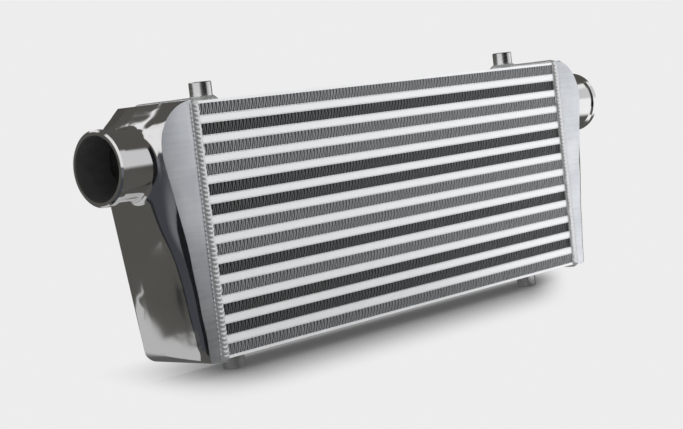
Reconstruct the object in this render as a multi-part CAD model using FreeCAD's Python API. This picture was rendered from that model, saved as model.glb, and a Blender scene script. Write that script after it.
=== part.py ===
import FreeCAD, Part
import math
import os
from FreeCAD import Vector

# Bar-and-plate charge-air cooler: a brazed core between two cast end tanks, with four threaded bosses.
# Millimetres. X runs along the core, Y runs through it and Z is up. The lower bosses stand on Z = 0.

# Core
core_length = 550.0
core_depth = 76.0
fin_rows = 13
fin_height = 10.2
bar_height = 6.5
bar_width = 10.0
bar_edge_chamfer = 0.7
sheet_thickness = 0.6
plate_thickness = 2.5
end_bar_width = 4.0
fin_recess = 1.0
fin_strip = 0.6
fin_leg_count = 72
turbulator_strip = 0.5
turbulator_leg_count = 9
turbulator_side_gap = 0.4
braze_bite = 0.3

# Threaded bosses
boss_radius = 10.5
boss_height = 17.5
boss_edge_chamfer = 0.8
boss_inset = 44.0
thread_radius = 3.4
thread_floor = 5.5
drill_point_angle = 118.0
boss_weld_width = 4.6
boss_weld_height = 4.2

# End tanks: the reach is measured outwards from the core's end, the height from the spigot's axis
tank_wall = 4.0
tank_overhang = 1.5
spigot_below_core_top = 48.5
spigot_radius = 31.75
spigot_wall = 2.5
spigot_reach = 86.6
bead_rise = 1.95
bead_length = 9.6
bead_shoulder = 1.8
lip_chamfer = 1.6
spigot_root_round = 8.0
tank_sections = 20
tank_shoulder_reach = 25.5
tank_upper_reach = 53.5
tank_upper_height = 26.0
tank_upper_round = 22.0
tank_crown_reach = 51.2
tank_crown_height = -8.0
tank_crown_round = 60.0
tank_foot_reach = 28.2
tank_foot_round = 19.0
crease_shoulder_inset = 19.5
crease_upper_inset = 9.5
crease_upper_height = 44.5
crease_upper_round = 41.0
crease_crown_inset = 7.2
crease_crown_height = 2.0
crease_crown_round = 40.0
crease_waist_inset = 14.2
crease_waist_height = -75.0
crease_waist_round = 60.0
crease_foot_inset = 11.4
blend_at_top = 20.0
blend_at_spigot = 31.0
blend_spigot_round = 20.0
blend_at_waist = 11.0
blend_waist_height = -85.0
blend_waist_round = 60.0
blend_at_foot = 7.5
tuck_at_foot = 5.5
tuck_start_height = -56.0
tuck_end_height = -104.0
tuck_round = 60.0
rear_round = 3.0

# Weld beads round the seams between core and tanks
weld_half_width = 5.2
weld_height = 2.7
weld_outset = 0.8
weld_corner = 4.0
weld_crown_steps = 4

row_pitch = fin_height + bar_height + 2 * sheet_thickness
core_height = 2 * plate_thickness + fin_rows * fin_height + (fin_rows - 1) * (row_pitch - fin_height)
core_bottom = boss_height
core_top = core_bottom + core_height
core_end = core_length / 2
half_depth = core_depth / 2
bead_radius = spigot_radius + bead_rise
bore_radius = spigot_radius - spigot_wall
spigot_axis = core_top - spigot_below_core_top
tank_top = core_top + tank_overhang - spigot_axis
tank_bottom = core_bottom - tank_overhang - spigot_axis


def box(x0, x1, y0, y1, z0, z1):
    return Part.makeBox(x1 - x0, y1 - y0, z1 - z0, Vector(x0, y0, z0))


def face_of(points):
    return Part.Face(Part.makePolygon(points + points[:1]))


def save(name, shape):
    shape.exportStep("parts/" + name + ".step")


def row_bottom(row):
    # Air rows count down from the top.
    return core_top - plate_thickness - fin_height - (row - 1) * row_pitch


def corrugation(length, height, legs, strip, first_fold):
    # Outline of a folded strip in the plane of length and height, centred on its length.
    # first_fold is +1 where the strip starts at its upper side, and -1 where it starts at the lower.
    swing = (height - strip) / 2
    upper = []
    lower = []
    for fold in range(legs + 1):
        x = -length / 2 + length * fold / legs
        z = swing * first_fold * (-1) ** fold
        upper.append((x, z + strip / 2))
        lower.append((x, z - strip / 2))
    return upper + lower[::-1]


def air_fin(row):
    # One folded strip with its air channels along Y, brazed to the two bars that close its ends.
    # Neighbouring rows are folded the opposite way round.
    z0 = row_bottom(row)
    middle = z0 + fin_height / 2
    span = core_length - 2 * end_bar_width + 2 * braze_bite
    outline = corrugation(span, fin_height, fin_leg_count, fin_strip, -(-1) ** row)
    depth = core_depth - 2 * fin_recess
    points = [Vector(x, -depth / 2, middle + z) for x, z in outline]
    layer = face_of(points).extrude(Vector(0, depth, 0))
    inner = core_end - end_bar_width
    left = box(-core_end, -inner, -half_depth, half_depth, z0, z0 + fin_height)
    right = box(inner, core_end, -half_depth, half_depth, z0, z0 + fin_height)
    return layer.fuse([left, right])


def charge_channel(channel):
    # Two parting sheets with the turbulator brazed between them, its channels along X.
    z1 = row_bottom(channel)
    z0 = z1 - bar_height - 2 * sheet_thickness
    lower = box(-core_end, core_end, -half_depth, half_depth, z0, z0 + sheet_thickness)
    upper = box(-core_end, core_end, -half_depth, half_depth, z1 - sheet_thickness, z1)
    width = core_depth - 2 * (bar_width + turbulator_side_gap)
    height = bar_height + 2 * braze_bite
    outline = corrugation(width, height, turbulator_leg_count, turbulator_strip, 1)
    middle = (z0 + z1) / 2
    points = [Vector(-core_end, y, middle + z) for y, z in outline]
    turbulator = face_of(points).extrude(Vector(core_length, 0, 0))
    return turbulator.fuse([lower, upper])


def face_bar(channel, side):
    # Side is -1 at the front face and +1 at the rear face. The outward edges are chamfered.
    z1 = row_bottom(channel) - sheet_thickness
    z0 = z1 - bar_height
    outer = side * half_depth
    inner = side * (half_depth - bar_width)
    shoulder = side * (half_depth - bar_edge_chamfer)
    corners = [
        (inner, z0), (shoulder, z0), (outer, z0 + bar_edge_chamfer),
        (outer, z1 - bar_edge_chamfer), (shoulder, z1), (inner, z1),
    ]
    points = [Vector(-core_end, y, z) for y, z in corners]
    return face_of(points).extrude(Vector(core_length, 0, 0))


def side_plate(z0):
    return box(-core_end, core_end, -half_depth, half_depth, z0, z0 + plate_thickness)


def boss(side, top):
    # Round boss with a blind tapped hole and the weld fillet round its foot.
    drill_point = thread_radius / math.tan(math.radians(drill_point_angle / 2))
    profile = [
        Vector(0, 0, 0),
        Vector(boss_radius + boss_weld_width, 0, 0),
        Vector(boss_radius, 0, boss_weld_height),
        Vector(boss_radius, 0, boss_height - boss_edge_chamfer),
        Vector(boss_radius - boss_edge_chamfer, 0, boss_height),
        Vector(thread_radius, 0, boss_height),
        Vector(thread_radius, 0, thread_floor),
        Vector(0, 0, thread_floor - drill_point),
    ]
    body = face_of(profile).revolve(Vector(0, 0, 0), Vector(0, 0, 1), 360)
    if not top:
        body.rotate(Vector(0, 0, 0), Vector(1, 0, 0), 180)
    body.translate(Vector(side * (core_end - boss_inset), 0, core_top if top else core_bottom))
    return body


def rounded_line(corners, radii):
    # A wire of straight runs joined by tangent arcs, in the plane of reach (X) and height (Z).
    points = [Vector(x, 0, z) for x, z in corners]
    edges = []
    start = points[0]
    for before, corner, after, radius in zip(points, points[1:], points[2:], radii):
        inward = (before - corner).normalize()
        outward = (after - corner).normalize()
        half_angle = inward.getAngle(outward) / 2
        if math.isclose(half_angle, math.pi / 2):
            continue
        cut = radius / math.tan(half_angle)
        bisector = (inward + outward).normalize()
        centre = corner + bisector * (radius / math.sin(half_angle))
        first = corner + inward * cut
        last = corner + outward * cut
        edges.append(Part.makeLine(start, first))
        edges.append(Part.Arc(first, centre - bisector * radius, last).toShape())
        start = last
    edges.append(Part.makeLine(start, points[-1]))
    return Part.Wire(edges)


def reach_at(wire, height):
    past_everything = 2 * spigot_reach
    level = Part.makeLine(Vector(-past_everything, 0, height), Vector(past_everything, 0, height))
    return level.distToShape(wire)[1][0][1].x


def end_wall_line():
    # Outline of the end wall seen from the front.
    corners = [
        (tank_shoulder_reach, tank_top),
        (tank_upper_reach, tank_upper_height),
        (tank_crown_reach, tank_crown_height),
        (tank_foot_reach, tank_bottom),
    ]
    return rounded_line(corners, [tank_upper_round, tank_crown_round])


def crease_line():
    # Edge of the flat front panel, set in from the end wall's outline.
    waist_reach = reach_at(end_wall_line(), crease_waist_height) - crease_waist_inset
    corners = [
        (tank_shoulder_reach - crease_shoulder_inset, tank_top),
        (tank_upper_reach - crease_upper_inset, crease_upper_height),
        (tank_crown_reach - crease_crown_inset, crease_crown_height),
        (waist_reach, crease_waist_height),
        (tank_foot_reach - crease_foot_inset, tank_bottom),
    ]
    return rounded_line(corners, [crease_upper_round, crease_crown_round, crease_waist_round])


def blend_line():
    # How far back the rounding between front panel and end wall runs at each height.
    corners = [
        (blend_at_top, tank_top),
        (blend_at_spigot, 0.0),
        (blend_at_waist, blend_waist_height),
        (blend_at_foot, tank_bottom),
    ]
    return rounded_line(corners, [blend_spigot_round, blend_waist_round])


def tuck_line():
    # How much less the end wall reaches at its front than at its rear.
    corners = [
        (0.0, tank_top),
        (0.0, tuck_start_height),
        (tuck_at_foot, tuck_end_height),
        (tuck_at_foot, tank_bottom),
    ]
    return rounded_line(corners, [tuck_round, tuck_round])


def tank_section(curves, height, inset):
    # Level section: flat front and rear panels, a long blend in front and a plain round behind.
    # Inside the wall both corners are flats.
    wall, crease, blend, tuck = [reach_at(curve, height) for curve in curves]
    half = half_depth - inset
    far = wall - inset
    near = far - tuck
    edge = crease - inset
    rise = near - edge
    radius = (rise * rise + blend * blend) / (2 * rise)
    turn = math.atan2(blend, radius - rise) / 2
    bend_y = half - blend
    centre_x = near - radius
    middle = (centre_x + radius * math.cos(turn), bend_y + radius * math.sin(turn))
    knee = rear_round / math.sqrt(2)
    rear_middle = (far - rear_round + knee, half - rear_round + knee)
    rear_corner = ((0, half), (far - rear_round, half), rear_middle, (far, half - rear_round))
    front = [Vector(x, -y, height) for x, y in ((0, half), (edge, half), middle, (near, bend_y))]
    rear = [Vector(x, y, height) for x, y in rear_corner]
    if inset:
        corners = [Part.makeLine(front[1], front[3]), Part.makeLine(rear[3], rear[1])]
    else:
        corners = [Part.Arc(*front[1:]).toShape(), Part.Arc(*rear[:0:-1]).toShape()]
    return Part.Wire([
        Part.makeLine(front[0], front[1]),
        corners[0],
        Part.makeLine(front[3], rear[3]),
        corners[1],
        Part.makeLine(rear[1], rear[0]),
        Part.makeLine(rear[0], front[0]),
    ])


def tank_loft(inset):
    # The sections crowd together towards the top, where the form turns most.
    curves = [end_wall_line(), crease_line(), blend_line(), tuck_line()]
    top = tank_top - inset
    drop = top - (tank_bottom + inset)
    steps = [math.cos(math.pi / 2 * step / tank_sections) for step in range(tank_sections + 1)]
    wires = [tank_section(curves, top - drop * (1 - step), inset) for step in steps]
    return Part.makeLoft(wires, True, inset > 0)


def foot_round():
    # What the rounding takes off the lower outer edge of the end wall.
    heel = Vector(tank_foot_reach, 0, tank_bottom)
    height_above = tank_bottom / 2
    wall_above = (reach_at(end_wall_line(), height_above), height_above)
    corner = rounded_line([wall_above, (heel.x, heel.z), (0, heel.z)], [tank_foot_round]).Edges[1]
    upper, lower = [vertex.Point for vertex in corner.Vertexes]
    margin = tank_foot_round / 2
    outside = [
        lower,
        lower - Vector(0, 0, margin),
        heel + Vector(margin, 0, -margin),
        upper + Vector(margin, 0, 0),
        upper,
    ]
    rim = [Part.makeLine(a, b) for a, b in zip(outside, outside[1:])]
    offcut = Part.Face(Part.Wire([corner] + rim)).extrude(Vector(0, 2 * core_depth, 0))
    offcut.translate(Vector(0, -core_depth, 0))
    return offcut


def turned(profile):
    # A solid turned about the spigot's axis from (reach, radius) points.
    return face_of([Vector(x, 0, r) for x, r in profile]).revolve(Vector(0, 0, 0), Vector(1, 0, 0), 360)


def is_spigot(face):
    surface = face.Surface
    return surface.TypeId == "Part::GeomCylinder" and math.isclose(surface.Radius, spigot_radius)


def root_edges(body):
    # The edges where the spigot leaves the tank.
    edges = []
    for face in filter(is_spigot, body.Faces):
        for edge in face.Edges:
            reach = edge.BoundBox
            inside = tank_foot_reach < reach.XMin and reach.XMax < spigot_reach - bead_length
            known = any(edge.isSame(other) for other in edges)
            if inside and edge.Curve.TypeId != "Part::GeomLine" and not known:
                edges.append(edge)
    return edges


def end_tank(side):
    # One casting: a hollow duct, open to the core, that narrows downwards and carries the spigot.
    seat_end = spigot_reach - bead_length
    seat_start = tank_foot_reach
    stub = turned([(seat_start, 0), (seat_start, spigot_radius), (seat_end, spigot_radius), (seat_end, 0)])
    casting = tank_loft(0).cut(foot_round()).fuse(stub)
    casting = casting.makeFillet(spigot_root_round, root_edges(casting))
    bead = turned([
        (seat_end - braze_bite, 0),
        (seat_end - braze_bite, spigot_radius),
        (seat_end, spigot_radius),
        (seat_end + bead_shoulder, bead_radius),
        (spigot_reach - lip_chamfer, bead_radius),
        (spigot_reach, bead_radius - lip_chamfer),
        (spigot_reach, 0),
    ])
    bore = Part.makeCylinder(bore_radius, spigot_reach, Vector(0, 0, 0), Vector(1, 0, 0))
    hollow = tank_loft(tank_wall).cut(foot_round().translated(Vector(-tank_wall, 0, tank_wall)))
    casting = casting.fuse(bead).cut([hollow, bore])
    casting.translate(Vector(core_end, 0, spigot_axis))
    if side < 0:
        casting = casting.mirror(Vector(0, 0, 0), Vector(1, 0, 0))
    return casting


def weld_frame(x, rise):
    # Rounded rectangle round the seam, at X, standing the given height off it.
    half_width = half_depth + rise - weld_corner
    z0 = core_bottom - tank_overhang / 2 - rise + weld_corner
    z1 = core_top + tank_overhang / 2 + rise - weld_corner
    corners = [(-half_width, z0), (half_width, z0), (half_width, z1), (-half_width, z1), (-half_width, z0)]
    return Part.makePolygon([Vector(x, y, z) for y, z in corners]).makeOffset2D(weld_corner)


def tank_weld(side):
    # Crowned bead all round the seam, lying on the core on one side and on the tank on the other.
    frames = []
    for step in range(weld_crown_steps + 1):
        angle = math.pi * step / weld_crown_steps
        x = weld_outset - math.cos(angle) * weld_half_width
        frames.append(weld_frame(x, math.sin(angle) * weld_height))
    ring = Part.makeLoft(frames, True, True)
    tank_z0 = core_bottom - tank_overhang
    core = box(-core_end, 0, -half_depth, half_depth, core_bottom, core_top)
    tank = box(0, core_end, -half_depth, half_depth, tank_z0, core_top + tank_overhang)
    ring = ring.cut([core, tank])
    ring.translate(Vector(core_end, 0, 0))
    if side < 0:
        ring = ring.mirror(Vector(0, 0, 0), Vector(1, 0, 0))
    return ring


os.makedirs("parts", exist_ok=True)

for row in range(1, fin_rows + 1):
    save(f"air_fin_{row:02d}", air_fin(row))

for channel in range(1, fin_rows):
    save(f"charge_channel_{channel:02d}", charge_channel(channel))
    save(f"front_bar_{channel:02d}", face_bar(channel, -1))
    save(f"rear_bar_{channel:02d}", face_bar(channel, 1))

save("top_side_plate", side_plate(core_top - plate_thickness))
save("bottom_side_plate", side_plate(core_bottom))

for side, hand in ((-1, "left"), (1, "right")):
    save(hand + "_end_tank", end_tank(side))
    save(hand + "_tank_weld", tank_weld(side))
    save("top_" + hand + "_boss", boss(side, True))
    save("bottom_" + hand + "_boss", boss(side, False))
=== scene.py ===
import bmesh
import bpy
import math
from mathutils import Matrix, Vector, noise


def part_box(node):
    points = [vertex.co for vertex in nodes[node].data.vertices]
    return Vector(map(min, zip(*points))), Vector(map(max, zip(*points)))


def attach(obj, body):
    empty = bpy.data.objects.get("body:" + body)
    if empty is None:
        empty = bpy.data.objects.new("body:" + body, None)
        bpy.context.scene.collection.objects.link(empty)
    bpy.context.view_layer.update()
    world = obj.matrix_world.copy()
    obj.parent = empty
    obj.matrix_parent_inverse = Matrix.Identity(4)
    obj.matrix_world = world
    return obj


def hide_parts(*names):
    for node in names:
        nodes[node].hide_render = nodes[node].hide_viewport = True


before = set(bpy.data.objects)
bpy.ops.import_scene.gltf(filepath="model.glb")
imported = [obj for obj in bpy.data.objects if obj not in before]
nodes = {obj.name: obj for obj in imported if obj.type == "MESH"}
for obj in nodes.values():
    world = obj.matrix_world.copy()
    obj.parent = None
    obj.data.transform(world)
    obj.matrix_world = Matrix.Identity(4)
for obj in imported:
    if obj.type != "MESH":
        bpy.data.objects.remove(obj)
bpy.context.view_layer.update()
print("frame loaded,", len(nodes), "nodes")

millimetre = 0.001
mergeDistance = 0.001 * millimetre
coreRows = sum(name.startswith("air_fin") for name in nodes)
coreEnd, coreFace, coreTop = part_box("top_side_plate")[1]
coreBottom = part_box("bottom_side_plate")[0].z
rowLow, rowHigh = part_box("air_fin_01")
rowMiddle = (rowLow.z + rowHigh.z) / 2
rowPitch = rowLow.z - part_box("air_fin_02")[0].z


# Shader maths: a socket that can stand in an expression, and the tree that makes its nodes

class Signal:
    def __init__(self, shader, socket):
        self.shader = shader
        self.socket = socket

    def __add__(self, other):
        return self.shader.maths("ADD", self, other)

    def __sub__(self, other):
        return self.shader.maths("SUBTRACT", self, other)

    def __rsub__(self, other):
        return self.shader.maths("SUBTRACT", other, self)

    def __mul__(self, other):
        return self.shader.maths("MULTIPLY", self, other)

    def __abs__(self):
        return self.shader.maths("ABSOLUTE", self)

    __radd__ = __add__
    __rmul__ = __mul__

    def atLeast(self, limit):
        return self.shader.maths("MAXIMUM", self, limit)

    def atMost(self, limit):
        return self.shader.maths("MINIMUM", self, limit)

    def root(self):
        return self.shader.maths("SQRT", self)

    def angleFrom(self, ahead):  # in degrees
        return self.shader.maths("ARCTAN2", self, ahead) * (180 / math.pi)

    def ramp(self, start, end):  # 0 below start, 1 above end, smooth between
        settings = {"interpolation_type": "SMOOTHSTEP"}
        inputs = {"Value": self, "From Min": start, "From Max": end}
        return self.shader.node("ShaderNodeMapRange", settings, inputs)

    def band(self, limits, soft):  # 1 between the limits, with soft ends
        start, end = limits
        return self.ramp(start - soft, start + soft) * (1 - self.ramp(end - soft, end + soft))


class Shader:
    def __init__(self, owner):  # a material or the world
        owner.use_nodes = True
        self.owner = owner
        self.tree = owner.node_tree

    def node(self, kind, settings, inputs, output=0):
        node = self.tree.nodes.new(kind)
        for name, value in settings.items():
            setattr(node, name, value)
        self.fill(node, inputs)
        return Signal(self, node.outputs[output])

    def fill(self, node, inputs):
        for name, value in inputs.items():
            if isinstance(value, Signal):
                self.tree.links.new(value.socket, node.inputs[name])
            else:
                node.inputs[name].default_value = value

    def maths(self, operation, *values):
        return self.node("ShaderNodeMath", {"operation": operation}, dict(enumerate(values)))

    def place(self):
        return self.node("ShaderNodeTexCoord", {}, {}, "Object")

    def split(self):
        vector = self.place()
        return [self.node("ShaderNodeSeparateXYZ", {}, {"Vector": vector}, axis) for axis in "XYZ"]

    def grain(self, scale, detail, stretch=(1, 1, 1)):
        stretched = self.node("ShaderNodeMapping", {}, {"Vector": self.place(), "Scale": stretch})
        inputs = {"Vector": stretched, "Scale": scale, "Detail": detail}
        return self.node("ShaderNodeTexNoise", {}, inputs)

    def mix(self, share, first, second):  # sockets 6, 7 and 2 are the node's colour ones
        inputs = {0: share, 6: first, 7: second}
        return self.node("ShaderNodeMix", {"data_type": "RGBA"}, inputs, 2)

    def bump(self, height, strength, distance):
        inputs = {"Height": height, "Strength": strength, "Distance": distance}
        return self.node("ShaderNodeBump", {}, inputs)

    def glow(self, color):
        return self.node("ShaderNodeEmission", {}, {"Color": color, "Strength": 1.0})

    def ray(self, kind):
        return self.node("ShaderNodeLightPath", {}, {}, "Is " + kind + " Ray")

    def finish(self, **inputs):
        surface = self.tree.nodes["Principled BSDF"]
        self.fill(surface, {name.replace("_", " "): value for name, value in inputs.items()})
        return self.owner

    def show(self, surface):
        self.fill(self.tree.nodes["Material Output"], {"Surface": surface})


def newShader(name):
    return Shader(bpy.data.materials.new(name))


def grey(level, warmth=0.0):
    return (level * (1 + warmth), level, level * (1 - warmth), 1.0)


# Folded fins come first, because their finish follows their depth

finShape = {
    "legPitch": 2.275 * millimetre,
    "strip": 0.36 * millimetre,
    "lean": 0.42,
    "foldRound": 0.52 * millimetre,
    "foldSegments": 3,
    "sway": 0.3 * millimetre,
    "swayStep": (0.73, 5.1),
    "endBar": 4.0 * millimetre,
    "paintedLitRecess": 0.5 * millimetre,
    "paintedShadedRecess": 2.0 * millimetre,
    # How far back from the fins' front edge the painted highlight reaches
    "edgeHighlightReach": 0.5 * millimetre,
    # Rows with the painted-lit fin finish; the other rows get the painted-shaded one
    "paintedLitRows": (1, 3, 4, 7, 8, 10, 13),
}


# Finishes: a grain is its scale, detail and stretch, and a bump its strength and distance

barFinish = {
    "light": grey(0.97, -0.01),
    "dark": grey(0.88, -0.01),
    "metallic": 0.25,
    "roughness": 0.34,
    "uneven": 0.2,
    "scratches": (900, 4, (0.05, 1, 1)),
    "scratchShare": 0.6,
    "blotches": (60, 2),
    "bump": (0.4, 0.02 * millimetre),
}


def brushedBar():
    shader = newShader("brushedBar")
    scratches = shader.grain(*barFinish["scratches"])
    blotches = shader.grain(*barFinish["blotches"])
    share = barFinish["scratchShare"]
    worn = scratches * share + blotches * (1 - share)
    color = shader.mix(worn, barFinish["dark"], barFinish["light"])
    rough = barFinish["roughness"] + (blotches - 0.5) * barFinish["uneven"]
    normal = shader.bump(scratches, *barFinish["bump"])
    metallic = barFinish["metallic"]
    return shader.finish(Base_Color=color, Metallic=metallic, Roughness=rough, Normal=normal)


sheetFinish = {
    "light": grey(0.92),
    "dark": grey(0.74),
    "metallic": 0.35,
    "roughness": 0.4,
    "uneven": 0.15,
    "mottle": (500, 3, (0.2, 1, 1)),
}


def rolledSheet():
    shader = newShader("rolledSheet")
    mottle = shader.grain(*sheetFinish["mottle"])
    color = shader.mix(mottle, sheetFinish["dark"], sheetFinish["light"])
    rough = sheetFinish["roughness"] + mottle * sheetFinish["uneven"]
    return shader.finish(Base_Color=color, Metallic=sheetFinish["metallic"], Roughness=rough)


finFinish = {
    "streaks": (400, 3, (1, 0.15, 1)),
    "uneven": 0.2,
    "bump": (0.3, 0.05 * millimetre),
    # Painted light: the two tones are a lit and a shaded copy of one fin metal, lighter and darker
    # by how light falls on the rows
    "paintedLit": {
        "light": grey(0.6, -0.04),
        "dark": grey(0.3, -0.04),
        # Colour of the painted highlight along the strip's front edge
        "edge": (0.7954, 0.8118, 0.82, 1),
        "metallic": 0.55,
        "roughness": 0.5,
    },
    "paintedShaded": {
        "light": grey(0.26, -0.04),
        "dark": grey(0.12, -0.04),
        # Colour of the painted highlight along the strip's front edge
        "edge": (0.4074, 0.4158, 0.42, 1),
        "metallic": 0.6,
        "roughness": 0.45,
    },
}


# Fin metal in a painted-lit or a painted-shaded tone
def finStrip(tone):
    look = finFinish[tone]
    shader = newShader(tone + "Fin")
    streaks = shader.grain(*finFinish["streaks"])
    color = shader.mix(streaks, look["dark"], look["light"])
    # Painted highlight: the strip is painted lighter just behind its front edge, the light that the
    # edge catches
    cutEdge = coreFace - finShape[tone + "Recess"]
    edgeHighlight = abs(shader.split()[1]).ramp(cutEdge - finShape["edgeHighlightReach"], cutEdge)
    color = shader.mix(edgeHighlight, color, look["edge"])
    rough = look["roughness"] + (streaks - 0.5) * finFinish["uneven"]
    normal = shader.bump(streaks, *finFinish["bump"])
    metallic = look["metallic"]
    return shader.finish(Base_Color=color, Metallic=metallic, Roughness=rough, Normal=normal)


weldFinish = {
    "light": grey(0.98, -0.01),
    "dark": grey(0.78, -0.01),
    "metallic": 0.8,
    "roughness": 0.28,
    "uneven": 0.15,
    "frost": (700, 4),
    "bump": (0.35, 0.06 * millimetre),
}


def weldMetal():
    shader = newShader("weldMetal")
    frost = shader.grain(*weldFinish["frost"])
    color = shader.mix(frost, weldFinish["dark"], weldFinish["light"])
    rough = weldFinish["roughness"] + frost * weldFinish["uneven"]
    normal = shader.bump(frost, *weldFinish["bump"])
    metallic = weldFinish["metallic"]
    return shader.finish(Base_Color=color, Metallic=metallic, Roughness=rough, Normal=normal)


bossFinish = {
    "light": grey(0.9),
    "dark": grey(0.76),
    "roughness": 0.2,
    "uneven": 0.1,
    "rings": (1200, 2, (0.02, 0.02, 1)),
    "bump": (0.3, 0.02 * millimetre),
}


def turnedBoss():
    shader = newShader("turnedBoss")
    rings = shader.grain(*bossFinish["rings"])
    color = shader.mix(rings, bossFinish["dark"], bossFinish["light"])
    rough = bossFinish["roughness"] + rings * bossFinish["uneven"]
    normal = shader.bump(rings, *bossFinish["bump"])
    return shader.finish(Base_Color=color, Metallic=1.0, Roughness=rough, Normal=normal)


tankFinish = {
    "polishedLight": grey(0.9),
    "polishedDark": grey(0.84),
    "polishedRoughness": 0.06,
    "polishedUneven": 0.04,
    "panelLight": (0.94, 0.97, 1.0, 1),
    "panelDark": (0.66, 0.69, 0.73, 1),
    "panelRoughness": 0.33,
    "panelUneven": 0.15,
    "panelEdge": (0.04 * millimetre, 0.01 * millimetre),
    "streaks": (260, 4, (0.08, 1, 1)),
    "smudges": (24, 3),
    "skin": (1500, 2),
    "waves": (20, 1),
    "streakShare": 0.35,
    "wornLimits": (0.25, 0.75),
    "streakHeight": 0.02 * millimetre,
    "skinHeight": 0.004 * millimetre,
    "waveHeight": 0.12 * millimetre,
    "calmWaves": 0.15,
    "calmDepth": (0.012, 0.02),
    "seatReach": 0.012,
    "seatFall": 6.0,
    "saddleStart": (0.004, 0.223),
    "saddleFall": (5.0, 3.2),
    "saddleLevel": (0.185, 0.205),
}


def castTank():
    shader = newShader("castTank")
    x, y, z = shader.split()
    onPanel = abs(y).ramp(*[coreFace - inset for inset in tankFinish["panelEdge"]])
    streaks = shader.grain(*tankFinish["streaks"])
    smudges = shader.grain(*tankFinish["smudges"])
    skin = shader.grain(*tankFinish["skin"])

    share = tankFinish["streakShare"]
    worn = (streaks * share + smudges * (1 - share)).ramp(*tankFinish["wornLimits"])
    polished = shader.mix(smudges, tankFinish["polishedDark"], tankFinish["polishedLight"])
    panel = shader.mix(worn, tankFinish["panelDark"], tankFinish["panelLight"])
    color = shader.mix(onPanel, polished, panel)

    polishedRough = tankFinish["polishedRoughness"] + smudges * tankFinish["polishedUneven"]
    panelRough = tankFinish["panelRoughness"] + (streaks - 0.5) * tankFinish["panelUneven"]
    rough = polishedRough + (panelRough - polishedRough) * onPanel

    # Shallow waves, a rounded saddle beside the spigot, and a panel that dips to its weld
    calm = tankFinish["calmWaves"]
    inward = (coreFace - abs(y)).ramp(*tankFinish["calmDepth"])
    waves = shader.grain(*tankFinish["waves"]) * (calm + (1 - calm) * inward)
    rearStart, topStart = tankFinish["saddleStart"]
    rearFall, topFall = tankFinish["saddleFall"]
    rearward = (y - rearStart).atLeast(0.0)
    upward = (z - topStart).atLeast(0.0)
    saddle = rearward * rearward * rearFall * z.ramp(*tankFinish["saddleLevel"])
    saddle = saddle + upward * upward * topFall
    besideSeat = (coreEnd + tankFinish["seatReach"] - abs(x)).atLeast(0.0)
    dip = besideSeat * besideSeat * tankFinish["seatFall"]
    height = waves * tankFinish["waveHeight"] + skin * tankFinish["skinHeight"]
    height = height + streaks * onPanel * tankFinish["streakHeight"]
    height = height - saddle * (1 - onPanel) - dip * onPanel
    normal = shader.bump(height, 1.0, 1.0)
    return shader.finish(Base_Color=color, Metallic=1.0, Roughness=rough, Normal=normal)


insideFinish = {
    "light": grey(0.3),
    "dark": grey(0.2),
    "metallic": 0.8,
    "roughness": 0.55,
    "skin": (120, 4),
    "bump": (0.5, 0.2 * millimetre),
}


def castInside():
    shader = newShader("castInside")
    skin = shader.grain(*insideFinish["skin"])
    color = shader.mix(skin, insideFinish["dark"], insideFinish["light"])
    rough = insideFinish["roughness"]
    normal = shader.bump(skin, *insideFinish["bump"])
    metallic = insideFinish["metallic"]
    return shader.finish(Base_Color=color, Metallic=metallic, Roughness=rough, Normal=normal)


barMetal = brushedBar()
sheetMetal = rolledSheet()
finMetal = {tone: finStrip(tone) for tone in ("paintedLit", "paintedShaded")}
weldBeadMetal = weldMetal()
bossMetal = turnedBoss()
tankMetal = castTank()
insideMetal = castInside()
print("materials made")


# Finishing a new piece: mesh, material, body and the node that it stands for

def meshObject(bm, name, material):
    mesh = bpy.data.meshes.new(name)
    bm.to_mesh(mesh)
    bm.free()
    mesh.materials.append(material)
    piece = bpy.data.objects.new(name, mesh)
    bpy.context.scene.collection.objects.link(piece)
    return piece


def finishPiece(bm, name, material, slot, *replaced, sharpAngle=40):
    for face in bm.faces:
        face.smooth = True
    for edge in bm.edges:
        edge.smooth = edge.calc_face_angle(0) < math.radians(sharpAngle)
    piece = meshObject(bm, name, material)
    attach(piece, "root")
    if replaced:
        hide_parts(*replaced)
    return piece


def wobble(x, y, z):
    return noise.noise(Vector((x, y, z)))


# Folded air fins: one zigzag line per row, drawn out to a strip with a bar at each end

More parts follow.
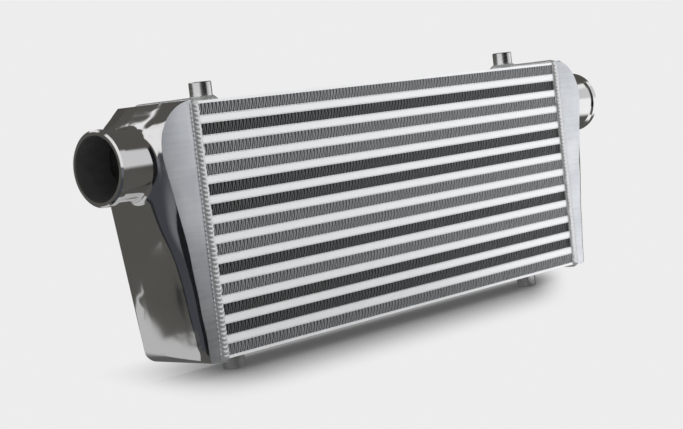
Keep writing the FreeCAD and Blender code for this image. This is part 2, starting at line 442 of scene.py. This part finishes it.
def foldedFin(row):
    name = f"air_fin_{row:02d}"
    low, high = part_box(name)
    depth, height = high.y - low.y, high.z - low.z
    # Each row gets the painted-lit or the painted-shaded copy of the fin metal
    tone = "paintedLit" if row in finShape["paintedLitRows"] else "paintedShaded"
    recess = finShape[tone + "Recess"]
    barWidth = finShape["endBar"]
    start = low.x + barWidth
    span = high.x - low.x - 2 * barWidth
    legs = round(span / finShape["legPitch"])
    middle = (low.z + high.z) / 2
    swing = (height - finShape["strip"]) / 2
    alongStep, rowStep = finShape["swayStep"]
    bm = bmesh.new()
    first = bmesh.ops.create_vert(bm, co=(start, low.y + recess, middle - swing))
    tip = first["vert"][0]
    for leg in range(1, legs + 1):
        stray = finShape["sway"] * wobble(leg * alongStep, row * rowStep, 0) if leg < legs else 0
        side = 1 if leg % 2 else -1
        for walk in (leg - 1 + finShape["lean"], leg):
            tip = bmesh.ops.extrude_vert_indiv(bm, verts=[tip])["verts"][0]
            tip.co = (start + span * walk / legs + stray, low.y + recess, middle + side * swing)
    folds = [vert for vert in bm.verts if len(vert.link_edges) == 2]
    bmesh.ops.bevel(
        bm, geom=folds, offset=finShape["foldRound"], offset_type="OFFSET", affect="VERTICES",
        segments=finShape["foldSegments"], profile=0.5, material=-1,
    )
    drawn = bmesh.ops.extrude_edge_only(bm, edges=bm.edges[:])["geom"]
    ends = [item for item in drawn if isinstance(item, bmesh.types.BMVert)]
    bmesh.ops.translate(bm, verts=ends, vec=(0, depth - 2 * recess, 0))
    bmesh.ops.recalc_face_normals(bm, faces=bm.faces[:])
    bmesh.ops.solidify(bm, geom=bm.faces[:], thickness=finShape["strip"])
    for x in (low.x, high.x - barWidth):
        bar = bmesh.ops.create_cube(bm, size=1)["verts"]
        bmesh.ops.scale(bm, verts=bar, vec=(barWidth, depth, height))
        centre = (x + barWidth / 2, (low.y + high.y) / 2, middle)
        bmesh.ops.translate(bm, verts=bar, vec=centre)
    finishPiece(bm, f"folded_fin_{row:02d}", finMetal[tone], "air_fins", name)


for row in range(1, coreRows + 1):
    foldedFin(row)
print("folded fins made")


# Weld beads: the lumps are shares of the bead's height and of its width,
# and the sag between the rows has a steady share and an uneven one

beadShape = {
    "pitch": 4.0 * millimetre,
    "stepsPerRipple": 7,
    "around": 18,
    "rippleDepth": 0.42,
    "rippleWidth": 0.1,
    "rippleSharpness": 0.6,
    "crescent": 0.85,
    "sink": 1.0 * millimetre,
    "corner": 4.0 * millimetre,
    "sag": 1.3 * millimetre,
    "sagNarrowing": 3,
    "sagShares": (0.6, 0.8),
    "sagFacing": 0.9,
    "lumpScale": 90,
    "lumps": (0.12, 0.06),
    "sharpAngle": 80,
}


def closedRing(alongCount, aroundCount, place):
    # A grid bent into a closed tube: place(share, angle) gives its points, and the seams are merged
    bm = bmesh.new()
    bmesh.ops.create_grid(bm, x_segments=alongCount, y_segments=aroundCount, size=0.5)
    for vert in bm.verts:
        vert.co = place(vert.co.x + 0.5, (vert.co.y + 0.5) * 2 * math.pi)
    bmesh.ops.remove_doubles(bm, verts=bm.verts[:], dist=mergeDistance)
    bmesh.ops.recalc_face_normals(bm, faces=bm.faces[:])
    return bm


def roundedFrame(share, halfWidth, halfHeight, corner):
    # A point of a rounded rectangle and its outward direction, in Y and Z
    arc = corner * math.pi / 2
    sides = [2 * (halfHeight - corner), 2 * (halfWidth - corner)] * 2
    walk = share % 1 * (sum(sides) + 4 * arc)
    turns = [(Vector((0, 0, 1)), Vector((0, -1, 0))), (Vector((0, 1, 0)), Vector((0, 0, 1)))]
    turns += [(-along, -out) for along, out in turns]
    for side, (along, out), reach in zip(sides, turns, [halfWidth, halfHeight] * 2):
        if walk <= side + arc:
            angle = max(walk - side, 0) / corner
            bend = out * (reach - corner)
            out = out * math.cos(angle) + along * math.sin(angle)
            return bend + along * (min(walk, side) - side / 2) + out * corner, out
        walk -= side + arc


def ripple(walk, across):
    phase = walk / beadShape["pitch"] + beadShape["crescent"] * (1 - across * across)
    return abs(math.sin(math.pi * phase)) ** beadShape["rippleSharpness"]


def tankBead(hand):
    name = hand + "_tank_weld"
    low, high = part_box(name)
    seam = (low.x + high.x) / 2
    toCore = -1 if seam > 0 else 1
    height = high.y - coreFace
    middle = (low.z + high.z) / 2
    halfWidth = high.y - height
    halfHeight = (high.z - low.z) / 2 - height
    corner = beadShape["corner"]
    length = 4 * (halfWidth + halfHeight) - corner * (8 - 2 * math.pi)
    ripples = round(length / beadShape["pitch"])
    length = ripples * beadShape["pitch"]
    lumpHeight, lumpWidth = beadShape["lumps"]
    steadySag, unevenSag = beadShape["sagShares"]

    def place(share, angle):
        point, out = roundedFrame(share, halfWidth, halfHeight, corner)
        across, rise = math.cos(angle), math.sin(angle)
        trough = 1 - ripple(share * length, across)
        uneven = wobble(*(point * beadShape["lumpScale"]))
        fullness = 1 - beadShape["rippleDepth"] * trough + lumpHeight * uneven
        width = 1 - beadShape["rippleWidth"] * trough + lumpWidth * uneven
        reach = (high.x - low.x) / 2 * width
        if across > 0 and abs(out.y) > beadShape["sagFacing"]:
            inRow = 0.5 + 0.5 * math.cos(2 * math.pi * (point.z + middle - rowMiddle) / rowPitch)
            sag = beadShape["sag"] * inRow ** beadShape["sagNarrowing"]
            reach += sag * (steadySag + unevenSag * uneven)
        lift = rise * height * min(fullness, 1) if rise > 0 else rise * beadShape["sink"]
        return Vector((seam + toCore * across * reach, 0, middle)) + point + out * lift

    bm = closedRing(ripples * beadShape["stepsPerRipple"], beadShape["around"], place)
    sharpAngle = beadShape["sharpAngle"]
    finishPiece(bm, hand + "_seam_bead", weldBeadMetal, "weld_beads", name, sharpAngle=sharpAngle)


for hand in ("left", "right"):
    tankBead(hand)
print("seam beads made")


# Threaded bosses: a rippled fillet round the foot and the thread in the hole

bossShape = {
    "radius": 10.5 * millimetre,
    "beadWidth": 4.9 * millimetre,
    "beadHeight": 4.6 * millimetre,
    "hollow": 1.5,
    "ripples": 20,
    "rippleDepth": 0.14,
    "lumpScale": 150,
    "lumps": 0.08,
    "threadRadius": 3.4 * millimetre,
    "threadPitch": 1.25 * millimetre,
    "threadDepth": 0.25 * millimetre,
    "ridgeShare": 0.4,
    "threadTurns": 9,
    "threadSteps": 20,
}


def bossBead(name, axis, up):
    def place(share, angle):
        turn = share * 2 * math.pi
        out = Vector((math.cos(turn), math.sin(turn), 0))
        across, rise = math.cos(angle), math.sin(angle)
        trough = 1 - ripple(share * bossShape["ripples"] * beadShape["pitch"], rise)
        uneven = wobble(*((axis + out * bossShape["radius"]) * bossShape["lumpScale"]))
        fullness = 1 - bossShape["rippleDepth"] * trough + bossShape["lumps"] * uneven
        reach = across * beadShape["sink"]
        if across > 0:
            reach = bossShape["beadWidth"] * across ** bossShape["hollow"] * fullness
        lift = rise * beadShape["sink"] / 2
        if rise > 0:
            lift = bossShape["beadHeight"] * rise ** bossShape["hollow"] * fullness
        return axis + out * (bossShape["radius"] + reach) + Vector((0, 0, up * lift))

    bm = closedRing(bossShape["ripples"] * beadShape["stepsPerRipple"], beadShape["around"], place)
    sharpAngle = beadShape["sharpAngle"]
    finishPiece(bm, name + "_bead", weldBeadMetal, "weld_beads", sharpAngle=sharpAngle)


def bossThread(name, axis, up, mouth):
    bm = bmesh.new()
    pitch, turns, steps = [bossShape["thread" + key] for key in ("Pitch", "Turns", "Steps")]
    start = Vector((axis.x + bossShape["threadRadius"], axis.y, mouth - up * pitch))
    halfRidge = Vector((0, 0, pitch * bossShape["ridgeShare"]))
    tip = Vector((-bossShape["threadDepth"], 0, 0))
    ridge = [bm.verts.new(start + offset) for offset in (halfRidge, tip, -halfRidge)]
    face = bm.faces.new(ridge)
    bmesh.ops.spin(
        bm, geom=[face], cent=axis, axis=(0, 0, 1), angle=2 * math.pi * turns,
        steps=turns * steps, dvec=(0, 0, -up * pitch / steps), use_merge=False,
    )
    bmesh.ops.recalc_face_normals(bm, faces=bm.faces[:])
    finishPiece(bm, name + "_thread", bossMetal, "bosses")


def bossDetails(name):
    low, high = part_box(name)
    atTop = low.z > (coreTop + coreBottom) / 2
    up = 1 if atTop else -1
    foot, mouth = (low.z, high.z) if atTop else (high.z, low.z)
    axis = Vector(((low.x + high.x) / 2, (low.y + high.y) / 2, foot))
    bossBead(name, axis, up)
    bossThread(name, axis, up, mouth)


for name in [name for name in nodes if name.endswith("_boss")]:
    bossDetails(name)
print("boss details made")


# Cast end tanks: a merged copy of the node, with its inside marked and its crease rounded

tankShape = {
    "axisBelowTop": 48.5 * millimetre,
    "boreSample": 20.0 * millimetre,
    "boreFacing": -0.9,
    "insideSlack": 0.01 * millimetre,
    "panelSlack": 0.02 * millimetre,
    "levelEdge": 0.01 * millimetre,
    "creaseRound": 1.6 * millimetre,
    "creaseSegments": 4,
    "sharpAngle": 28,
}


def inBore(face, mouth):
    centre = face.calc_center_median()
    if abs(centre.x) <= mouth - tankShape["boreSample"]:
        return False
    fromAxis = Vector((0, centre.y, centre.z - coreTop + tankShape["axisBelowTop"]))
    return face.normal.dot(fromAxis.normalized()) < tankShape["boreFacing"]


def markInside(bm, mouth):
    # The inner skin meets the outer one only at the spigot's mouth and at the seat on the core
    slack = tankShape["insideSlack"]
    firstFace = next(face for face in bm.faces if inBore(face, mouth))
    reached, waiting = {firstFace}, [firstFace]
    while waiting:
        for edge in waiting.pop().edges:
            ends = [abs(vert.co.x) for vert in edge.verts]
            if min(ends) < mouth - slack and max(ends) > coreEnd + slack:
                fresh = [face for face in edge.link_faces if face not in reached]
                reached.update(fresh)
                waiting.extend(fresh)
    for face in reached:
        face.material_index = 1


def onFront(face):
    slack = tankShape["panelSlack"]
    return all(abs(vert.co.y + coreFace) < slack for vert in face.verts)


def roundCrease(bm):
    # The front panel becomes one face, and its outer edge gets a small round
    flat = [face for face in bm.faces if onFront(face)]
    panel = bmesh.ops.dissolve_faces(bm, faces=flat, use_verts=False)["region"]
    crease = []
    for edge in {edge for face in panel for edge in face.edges}:
        ends = [vert.co for vert in edge.verts]
        level = abs(ends[0].z - ends[1].z) < tankShape["levelEdge"]
        atSeat = max(abs(end.x) for end in ends) < coreEnd + tankShape["panelSlack"]
        if not level and not atSeat:
            crease.append(edge)
    bmesh.ops.bevel(
        bm, geom=crease, offset=tankShape["creaseRound"], offset_type="OFFSET", affect="EDGES",
        segments=tankShape["creaseSegments"], profile=0.5, material=-1, clamp_overlap=True,
    )


def smoothTank(hand):
    name = hand + "_end_tank"
    low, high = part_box(name)
    bm = bmesh.new()
    bm.from_mesh(nodes[name].data)
    bmesh.ops.remove_doubles(bm, verts=bm.verts[:], dist=mergeDistance)
    markInside(bm, max(-low.x, high.x))
    roundCrease(bm)
    sharpAngle = tankShape["sharpAngle"]
    tank = finishPiece(bm, hand + "_cast_tank", tankMetal, "end_tanks", name, sharpAngle=sharpAngle)
    tank.data.materials.append(insideMetal)


for hand in ("left", "right"):
    smoothTank(hand)
print("tanks made")


# The other nodes keep their own shape, found by a word in their name

plainPieces = {
    "_bar_": (barMetal, "face_bars"),
    "charge_channel": (sheetMetal, "parting_sheets"),
    "side_plate": (barMetal, "side_plates"),
    "_boss": (bossMetal, "bosses"),
}

for word, (material, slot) in plainPieces.items():
    for node in [node for name, node in nodes.items() if word in name]:
        node.data.materials.clear()
        node.data.materials.append(material)
print("plain pieces dressed")


# Studio: pale floor and background with a painted shadow near the object, soft lamps, and a dome
# that only polished metal mirrors

studio = {
    "background": 0.846,
    "ambient": 0.42,
    "floorSize": 40.0,
    "footprint": (0.27, 0.038),
    "centre": (0, 0, 0.13),
    "tankCentre": (-0.3, -0.03, 0.12),
    "domeRadius": 2.5,
    "domeSegments": (48, 24),
    "facing": 240.0,
    "paleFloor": 0.5,
    # Painted shadow in reflections: dark level of the floor right under the core, and how far it
    # reaches
    "paintedShadowFloor": 0.1,
    "paintedShadowReach": (0.02, 0.07),
    "paleReach": (0.0, 0.236),
    "cardLine": {"offset": 0.399, "slope": 0.86, "kink": 0.095, "soft": 0.004},
    "cardEnd": (-0.33, -0.28),
    "dark": (0.088, 0.085, 0.077, 1.0),
}

# Painted shadow: where, how far and how dark a darker ground is mixed into the floor round the
# object, and how its ends are cut
shadow = {
    "middle": (-0.02, 0.01),
    "half": (0.31, 0.01),
    "fade": 0.145,
    "depth": 0.95,
    "ground": 0.34,
    "roughness": 0.9,
    "endSlants": (0.3, 1.4),
    "leftEnd": (-0.345, -0.225),
    "rightEnd": (0.235, 0.315),
}

# Mirrored patches: azimuth limits, elevation limits, softness of both in degrees, and tone

softPatches = {
    "key": ((311, 354), (-2, 38), (3, 1.5), (0.85, 0.86, 0.86, 1)),
    "left": ((150, 222), (-1, 60), (6, 3), (0.8, 0.79, 0.79, 1)),
    "horizon": ((322, 352), (-9, -2), (4, 1), (0.75, 0.75, 0.75, 1)),
}

tankPatches = {
    "frontLeft": ((154, 246), (-44, -1), (4, 1), (0.05, 0.053, 0.063, 1)),
    "frontPale": ((208, 250), (-14, -1), (18, 4), (0.15, 0.155, 0.17, 1)),
    "bendLine": ((139, 155), (-44, -1), (2, 2), (0.022, 0.023, 0.026, 1)),
    "saddleHigh": ((79, 192), (32, 53), (3, 3), (0.86, 0.85, 0.86, 1)),
    "saddleLow": ((186, 214), (4, 53), (10, 4), (0.86, 0.85, 0.86, 1)),
    "blackFlag": ((244, 304), (-44, 34), (4, 4), (0.008, 0.008, 0.01, 1)),
    "spigotKey": ((298, 346), (-3, 36), (3, 4), (0.62, 0.62, 0.63, 1)),
}

rightPatches = {
    "rightCard": ((321, 350), (-32, 6), (3, 3), (0.97, 0.96, 0.97, 1)),
}


def makeWorld():
    # Metal, glass and the camera see the background, and the ambient light is weaker
    world = bpy.data.worlds.new("studioWorld")
    bpy.context.scene.world = world
    shader = Shader(world)
    seen = shader.ray("Camera") + shader.ray("Glossy") + shader.ray("Transmission")
    level = studio["ambient"] + (studio["background"] - studio["ambient"]) * seen.atMost(1.0)
    background = world.node_tree.nodes["Background"]
    shader.fill(background, {"Color": grey(1.0), "Strength": level})


def addPatches(shader, color, patches, centre):
    # The azimuth runs from 60 to 420 degrees, and both angles are seen from the centre
    x, y, z = [axis - middle for axis, middle in zip(shader.split(), centre)]
    turn = math.radians(studio["facing"])
    ahead = x * math.cos(turn) + y * math.sin(turn)
    aside = y * math.cos(turn) - x * math.sin(turn)
    azimuth = aside.angleFrom(ahead) + studio["facing"]
    elevation = z.angleFrom((x * x + y * y).root())
    for limits, levels, (across, upward), tone in patches.values():
        mask = azimuth.band(limits, across) * elevation.band(levels, upward)
        color = shader.mix(mask, color, tone)
    return color


def mirroredStudio(shader):
    color = addPatches(shader, studio["dark"], softPatches, studio["centre"])
    color = addPatches(shader, color, tankPatches, studio["tankCentre"])
    return addPatches(shader, color, rightPatches, studio["centre"])


def stagePiece(bm, name):
    shader = newShader(name)
    piece = meshObject(bm, name, shader.owner)
    return piece, shader


def makeFloor():
    # The camera sees an even ground, and near the object a darker ground is mixed in, a painted
    # shadow shaped like a blurred footprint, on which the lamps' real shadow also falls;
    # and polished metal mirrors pale and dark cards on it, with a painted shadow right under the
    # core
    bm = bmesh.new()
    bmesh.ops.create_grid(bm, x_segments=1, y_segments=1, size=studio["floorSize"])
    shader = stagePiece(bm, "studioFloor")[1]
    x, y = shader.split()[:2]

    def away(middle, half):
        across = (abs(x - middle[0]) - half[0]).atLeast(0.0)
        along = (abs(y - middle[1]) - half[1]).atLeast(0.0)
        return (across * across + along * along).root()

    # Painted shadow: the darker ground fades out round a blurred footprint and is cut off at both
    # ends
    reach = away(shadow["middle"], shadow["half"]).ramp(0, shadow["fade"])
    leftSlant, rightSlant = shadow["endSlants"]
    leftEnd = (x - y * leftSlant).ramp(*shadow["leftEnd"])
    rightEnd = 1 - (x - y * rightSlant).ramp(*shadow["rightEnd"])

    line = studio["cardLine"]
    side = x + (y - line["kink"]).atLeast(0.0) * line["slope"] + line["offset"]
    nearTank = 1 - x.ramp(*studio["cardEnd"])
    pale = y.band(studio["paleReach"], line["soft"]) * side.ramp(-line["soft"], line["soft"])
    # Painted shadow in reflections: glossy rays see the floor dark right under the core
    clear = away((0, 0), studio["footprint"]).ramp(*studio["paintedShadowReach"])
    mirrored = shader.mix(pale * nearTank, mirroredStudio(shader), grey(studio["paleFloor"]))
    mirrored = shader.mix(clear, grey(studio["paintedShadowFloor"]), mirrored)

    glossy = shader.ray("Glossy")
    even = shader.glow(shader.mix(glossy, grey(studio["background"]), mirrored))
    # The darker ground of the painted shadow, on which the lamps' real shadow falls too
    shader.finish(Base_Color=grey(shadow["ground"]), Roughness=shadow["roughness"])
    matt = Signal(shader, shader.tree.nodes["Principled BSDF"].outputs["BSDF"])
    # Share of the painted shadow's darker ground, for all rays but glossy ones
    share = (1 - reach) * leftEnd * rightEnd * shadow["depth"] * (1 - glossy)
    shader.show(shader.node("ShaderNodeMixShader", {}, {0: share, 1: even, 2: matt}))


def makeDome():
    bm = bmesh.new()
    around, upward = studio["domeSegments"]
    radius = studio["domeRadius"]
    bmesh.ops.create_uvsphere(bm, u_segments=around, v_segments=upward, radius=radius)
    bmesh.ops.translate(bm, verts=bm.verts[:], vec=studio["centre"])
    bmesh.ops.reverse_faces(bm, faces=bm.faces[:])
    dome, shader = stagePiece(bm, "studioDome")
    shader.show(shader.glow(mirroredStudio(shader)))
    dome.visible_camera = dome.visible_diffuse = False
    dome.visible_shadow = dome.visible_transmission = False


# Azimuth is measured from +X towards +Y, as seen from above

lamps = {
    "topSoftbox": {
        "azimuth": 95, "elevation": 77, "distance": 2.4, "size": (0.9, 0.6), "radiance": 12.0,
    },
    "keySoftbox": {
        "azimuth": -50, "elevation": 25, "distance": 2.2, "size": (1.3, 1.1), "radiance": 6.0,
    },
}


def softbox(name, lamp):
    light = bpy.data.lights.new(name, "AREA")
    light.shape = "RECTANGLE"
    width, height = lamp["size"]
    light.size, light.size_y = width, height
    light.energy = lamp["radiance"] * math.pi * width * height
    box = bpy.data.objects.new(name, light)
    azimuth, elevation = math.radians(lamp["azimuth"]), math.radians(lamp["elevation"])
    flat = math.cos(elevation)
    out = Vector((math.cos(azimuth) * flat, math.sin(azimuth) * flat, math.sin(elevation)))
    turn = out.to_track_quat("Z", "Y").to_matrix().to_4x4()
    box.matrix_world = Matrix.Translation(Vector(studio["centre"]) + out * lamp["distance"]) @ turn
    box.visible_camera = box.visible_glossy = False
    bpy.context.scene.collection.objects.link(box)


makeWorld()
makeFloor()
makeDome()
for name, lamp in lamps.items():
    softbox(name, lamp)
print("studio made")


# Camera, fitted to the core's rows and corners and to the spigot's ring

view = {
    "place": (-1.2275, -1.0821, 0.2351),
    "aim": (-0.0290, 0.0311, 0.1171),
    "roll": -6.66,
    "lens": 84.33,
    "sensor": 36.0,
}


def makeCamera():
    data = bpy.data.cameras.new("photoCamera")
    data.lens = view["lens"]
    data.sensor_width = view["sensor"]
    camera = bpy.data.objects.new("photoCamera", data)
    bpy.context.scene.collection.objects.link(camera)
    place = Vector(view["place"])
    look = (Vector(view["aim"]) - place).to_track_quat("-Z", "Y").to_matrix().to_4x4()
    roll = Matrix.Rotation(math.radians(view["roll"]), 4, "Z")
    camera.matrix_world = Matrix.Translation(place) @ look @ roll
    bpy.context.scene.camera = camera


makeCamera()
bpy.context.scene.view_settings.view_transform = "Standard"
